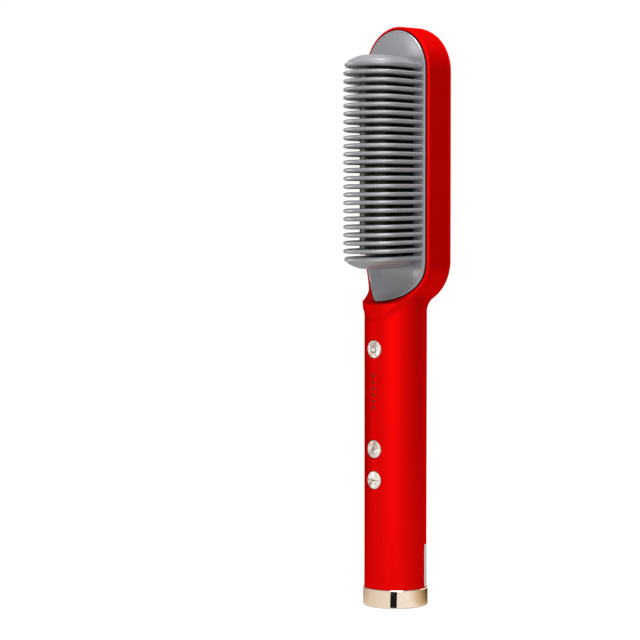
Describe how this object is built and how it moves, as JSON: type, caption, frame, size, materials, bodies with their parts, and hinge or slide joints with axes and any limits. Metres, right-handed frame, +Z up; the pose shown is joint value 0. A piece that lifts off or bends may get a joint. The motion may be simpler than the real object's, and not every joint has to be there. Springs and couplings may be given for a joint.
{
  "type": "hot comb",
  "caption": "Heated straightening comb: arched guard teeth over a heater ridge in a round-ended head, round handle with push buttons, bright foot ring and cord swivel.",
  "frame": {"origin": "centre of the foot ring's flat underside, on the handle's axis", "axes": "+Z up the handle to the top of the head, -Y towards the teeth and the buttons, +X to the right seen from the front"},
  "size_m": [0.0448, 0.0493, 0.29],
  "materials": {
    "shell": "satin-gloss painted shell",
    "panel": "gloss",
    "bright_trim": "polished champagne gold plating",
    "guard": "satin heat-resistant moulding",
    "ridge": "black coated",
    "film": "amber film",
    "bare_aluminium": "mill",
    "steel": "zinc plated",
    "heat_board": "pressed mica",
    "fuse_body": "glazed",
    "sensor_bead": "dipped",
    "heater_wire": "silicone",
    "sensor_wire": "sleeved",
    "mains_wire": "insulated",
    "circuit_board": "solder mask",
    "switch_body": "moulded",
    "button_metal": "spun champagne silver",
    "plunger": "moulded",
    "led": "clear lens",
    "light_guide": "tinted, clear",
    "capacitor": "dipped box",
    "terminal": "moulded",
    "black_plastic": "fine texture",
    "ivory_plastic": "moulded",
    "contact_brass": "rolled"
  },
  "bodies": {
    "handle": {"front_housing": "shell", "rear_housing": "shell", "rear_panel": "panel", "rear_trim_ring": "bright_trim", "comb_guard": "guard", "heater_ridge": "ridge", "insulating_film": "film", "ptc_heater": "bare_aluminium", "clamp_plate": "steel", "clamp_spring": "steel", "heat_shield": "heat_board", "thermal_fuse": "fuse_body", "temperature_sensor": "sensor_bead", "heater_leads": "heater_wire", "sensor_leads": "sensor_wire", "mains_leads": "mains_wire", "control_board": "circuit_board", "tact_switches": "switch_body", "led_indicators": "led", "light_guide": "light_guide", "power_capacitor": "capacitor", "mains_fuse": "fuse_body", "triac": "switch_body", "terminal_block": "terminal", "board_screws": "steel", "guard_screws": "steel", "end_ring": "bright_trim", "end_cap": "black_plastic", "end_cap_screws": "steel", "brush_holder": "ivory_plastic", "brush_contacts": "contact_brass"},
    "power_key": {"power_button": "button_metal", "power_plunger": "plunger"},
    "plus_key": {"plus_button": "button_metal", "plus_plunger": "plunger"},
    "minus_key": {"minus_button": "button_metal", "minus_plunger": "plunger"},
    "swivel": {"swivel_gland": "black_plastic", "slip_rings": "contact_brass", "gland_clip": "steel"}
  },
  "joints": [
    {"name": "power_press", "type": "slide", "parent": "handle", "child": "power_key", "axis": [0, 1, 0], "range_m": [0, 0.0005], "stiffness_N_per_m": 2000},
    {"name": "plus_press", "type": "slide", "parent": "handle", "child": "plus_key", "axis": [0, 1, 0], "range_m": [0, 0.0005], "stiffness_N_per_m": 2000},
    {"name": "minus_press", "type": "slide", "parent": "handle", "child": "minus_key", "axis": [0, 1, 0], "range_m": [0, 0.0005], "stiffness_N_per_m": 2000},
    {"name": "cord_swivel", "type": "hinge", "parent": "handle", "child": "swivel", "pos_m": [0, 0, 0.01], "axis": [0, 0, 1], "continuous": true}
  ]
}
